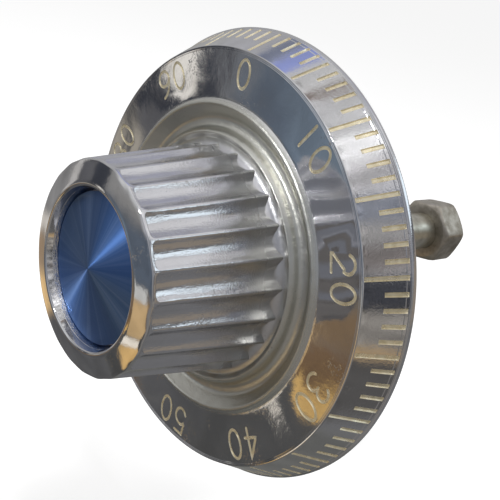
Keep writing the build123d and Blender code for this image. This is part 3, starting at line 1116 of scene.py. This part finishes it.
# Areas of the room: azimuths of its sides, from the dial's front, positive to its right; lower
# and upper elevation; how soft the border is; and the colour. Each lies over those before it.
ROOM_AREAS = (
    # in front and to the right, mirrored by the flutes and rings in the face
    (-24, 4, -6, 44, 6, 0.55, 0.56, 0.6),
    (4, 74, -4, 44, 6, 0.37, 0.385, 0.42),
    (-50, 62, 47, 72, 5, 1.05, 1.06, 1.1),
    (-24, 76, -60, -8, 7, 0.29, 0.275, 0.26),
    # left and below, mirrored by the face and the knob's land
    (-49, 5, -20, -4, 3, 0.14, 0.17, 0.215),
    (-46, -37, -17, -9, 4, 0.22, 0.28, 0.345),
    (-44, -20, 3, 38, 4, 0.86, 0.87, 0.87),
    (-60, -20, -22.5, -19, 1.5, 0.19, 0.17, 0.14),
    (-60, -18, -26, -22.5, 1.2, 0.27, 0.185, 0.11),
    (-60, -18, -30.5, -26, 1.2, 0.22, 0.14, 0.08),
    (-100, -70, -18.5, 4, 3, 0.32, 0.315, 0.31),
    (-100, -70, -22, -18.5, 1.5, 0.8, 0.75, 0.68),
    (-100, -70, -27, -22, 1.5, 0.45, 0.33, 0.22),
    (-110, -48, -70, -31, 1.5, 0.135, 0.135, 0.137),
    (-48, -16, -70, -30.5, 1.5, 0.1, 0.1, 0.098),
    (-100, -77, -33, -27, 1.5, 0.97, 0.66, 0.32),
    (-44, -34.5, -30.6, -28.8, 0.4, 0.85, 0.55, 0.2),
    (-32.2, -22, -24, -19, 0.7, 0.84, 0.84, 0.8),
    (-31.8, -20, -33, -24, 0.7, 0.76, 0.53, 0.27),
    (-38, -24, -44, -36.5, 1, 0.95, 0.62, 0.25),
    (-38, -24, -36.5, -33.5, 0.6, 1.25, 1.15, 0.98),
    (-70, -64.5, -14, 4, 1.5, 0.7, 0.68, 0.65),
    (-64.5, -58.5, -14, 8, 1, 0.15, 0.15, 0.16),
    (-58.5, -50, -20, 8, 1, 0.06, 0.065, 0.08),
    (-62, -55.5, -20, -12.5, 1, 0.48, 0.44, 0.37),
    (-55.3, -52, -10.8, -7.5, 0.5, 1.15, 1.1, 1.0),
    # to the right, mirrored by the bevel
    (84, 106, -66, -24, 4, 0.13, 0.125, 0.12),
    (80, 104, -22, -3, 3, 0.38, 0.355, 0.32),
    (80, 104, 12, 24, 3, 0.33, 0.3, 0.285),
    (80, 104, 24, 34, 3, 0.48, 0.465, 0.45),
    (80, 104, 34, 46, 3, 0.31, 0.33, 0.38),
    (66, 104, 47, 62, 3, 0.8, 0.79, 0.8),
    (82, 100, -4, 10, 1.5, 0.075, 0.078, 0.09),
    (78, 96, -27, -21, 1.5, 0.55, 0.4, 0.23),
    (58, 108, 62, 72, 1.2, 1.7, 1.7, 1.7),
    # behind to the right, mirrored by the flutes
    (106, 179, -64, -12, 4, 0.22, 0.22, 0.225),
    (106, 165, -13, 11, 3, 0.36, 0.31, 0.255),
    (106, 165, 11, 21, 2, 0.17, 0.175, 0.185),
    (106, 165, 22, 37, 3, 1.35, 1.52, 1.64),
    (112, 178, 42, 75, 4, 0.95, 0.95, 0.97),
    # behind to the left, mirrored by the flutes and the top of the bevel
    (-178, -130, 42, 64, 5, 0.52, 0.53, 0.62),
    (-128, -100, 20, 44, 3, 0.55, 0.55, 0.57),
    (-128, -100, 44, 54, 2, 0.3, 0.33, 0.43),
    (-128, -100, 54, 64, 1.5, 0.42, 0.49, 0.92),
    (-170, -60, 79.5, 84, 1, 0.42, 0.36, 0.33),
)


def make_camera():
    """The photograph's viewpoint: from the right and a little above, with a small roll."""
    data = bpy.data.cameras.new("camera")
    data.sensor_width, data.lens, data.shift_y = 36, 61.26, -0.1161
    data.clip_start, data.clip_end = 0.005, 20
    camera = new_object("camera", data)
    azimuth, elevation, roll = radians(46.91), radians(16.82), radians(11.96)
    back = Vector((sin(azimuth) * cos(elevation), -cos(azimuth) * cos(elevation), sin(elevation)))
    turn = back.to_track_quat("Z", "Y").to_matrix() @ Matrix.Rotation(roll, 3, "Z")
    camera.matrix_world = turn.to_4x4()
    camera.location = Vector(CAMERA_PLACE) * MM
    scene.camera = camera


def make_floor():
    """Pale floor. It looks paler still to the camera, and keeps the dial's shadow."""
    size, height = FLOOR_HALF, (-RIM_RADIUS - FLOOR_GAP) * MM
    mesh = bpy.data.meshes.new("floor")
    corners = [(-size, -size), (size, -size), (size, size), (-size, size)]
    mesh.from_pydata([(x, y, height) for x, y in corners], [], [(0, 1, 2, 3)])
    floor = new_object("floor", mesh)
    floor.visible_glossy = False
    material, n = new_material("floor")
    plain = n.make("BsdfDiffuse", {"Color": FLOOR_COLOUR})
    seen = n.make("LightPath").node.outputs["Is Camera Ray"]
    glow = n.make("Emission", {"Strength": n.times(seen, FLOOR_GLOW)})
    n.make("OutputMaterial", {"Surface": n.make("AddShader", {0: plain, 1: glow})})
    mesh.materials.append(material)


def area_mask(n, azimuth, elevation, left, right, low, high, soft):
    """One inside an area of the room, falling to nothing over its border."""
    mask = 1.0
    for angle, start, end in ((azimuth, left, right), (elevation, low, high)):
        mask = n.times(mask, n.span(angle, start - soft, start + soft))
        mask = n.times(mask, n.span(angle, end - soft, end + soft, 1.0, 0.0))
    return mask


def room_colour(n, azimuth, elevation):
    """Tones of the room by elevation, with its areas over them."""
    ramp = n.make("ValToRGB", {0: n.math("DIVIDE", n.plus(elevation, 90.0), 180.0)})
    stops = ramp.node.color_ramp.elements
    while len(stops) < len(ROOM_TONES):
        stops.new(0.5)
    for stop, (angle, *tone) in zip(stops, ROOM_TONES):
        stop.position = (angle + 90) / 180
        stop.color = (*tone, 1)
    colour = ramp
    for *area, red, green, blue in ROOM_AREAS:
        mask = area_mask(n, azimuth, elevation, *area)
        colour = n.mix(mask, colour, (red, green, blue, 1))
    return colour


def room_strength(n, azimuth, elevation):
    """Uneven strength, with bars to the right and overhead, as of windows and shelves."""
    even = n.span(n.noise(3.5, 4, 0.65), 0.2, 0.8, 0.8, 1.2)
    parts = (n.math("DIVIDE", a, b) for a, b in zip((azimuth, elevation), BAR_SIZE))
    upright = n.make("CombineXYZ", enumerate(parts))
    bars = n.span(n.noise(1.0, 4, 0.75, upright), 0.38, 0.62, 0.25, 1.65)
    beside = area_mask(n, azimuth, elevation, *BARRED_AREA)
    barred = n.math("MAXIMUM", beside, n.span(elevation, *BARRED_TOP))
    return n.make("Mix", {0: barred, 2: even, 3: n.times(even, bars)}, data_type="FLOAT")


def make_room():
    """The room that the plating mirrors: a distant shell that only reflections show."""
    mesh = bpy.data.meshes.new("room")
    bm = bmesh.new()
    bmesh.ops.create_icosphere(bm, subdivisions=3, radius=ROOM_RADIUS)
    bm.to_mesh(mesh)
    bm.free()
    room = new_object("room", mesh)
    room.visible_camera = room.visible_diffuse = room.visible_shadow = False
    room.visible_transmission = room.visible_volume_scatter = False

    material, n = new_material("room")
    direction = n.make("VectorMath", {0: n.place()}, operation="NORMALIZE")
    x, y, z = n.make("SeparateXYZ", {0: direction}).node.outputs
    azimuth = n.math("DEGREES", n.math("ARCTAN2", x, n.times(y, -1.0)))
    elevation = n.math("DEGREES", n.math("ARCSINE", z))
    wander = n.math("SUBTRACT", n.noise(2.2, 3, 0.6), 0.5)
    azimuth = n.plus(azimuth, n.times(wander, WANDER[0]))
    elevation = n.plus(elevation, n.times(wander, WANDER[1]))
    light = {
        "Color": room_colour(n, azimuth, elevation),
        "Strength": room_strength(n, azimuth, elevation),
    }
    n.make("OutputMaterial", {"Surface": n.make("Emission", light)})
    material.cycles.emission_sampling = "NONE"
    mesh.materials.append(material)


def lamp(name, place, size, power, mirrored):
    """Square lamp that faces the dial. The plating mirrors it or not."""
    data = bpy.data.lights.new(name, "AREA")
    data.size = size
    data.energy = power
    made = new_object(name, data)
    made.location = place
    made.rotation_euler = (-Vector(place)).to_track_quat("-Z", "Y").to_euler()
    made.visible_glossy = mirrored


def make_world():
    """Even white world, brighter to the camera and in reflections."""
    world = bpy.data.worlds.new("studio")
    scene.world = world
    world.use_nodes = True
    n = Nodes(world.node_tree)
    path = n.make("LightPath").node
    seen = n.math("MAXIMUM", path.outputs["Is Camera Ray"], path.outputs["Is Glossy Ray"])
    seen = n.math("MAXIMUM", seen, path.outputs["Is Transmission Ray"])
    strength = n.span(seen, 0, 1, WORLD_LEVEL, SEEN_WORLD_LEVEL)
    background = n.make("Background", {"Color": (1, 1, 1, 1), "Strength": strength})
    n.make("OutputWorld", {"Surface": background})


make_camera()
make_floor()
make_room()
lamp("key", place=(0.12, -0.06, 0.58), size=0.16, power=1.3, mirrored=False)
lamp("front", place=(-0.13, -0.63, 0.27), size=0.03, power=0.9, mirrored=True)
make_world()
make_casting([chrome_material(), paint_material()])
make_inlay([inlay_material()])
make_nut([steel_material("nut_steel")])
wear_cad_node("spindle", "dull_steel")
wear_cad_node("hub_pin", "pin_steel")
scene.view_settings.view_transform = "Standard"
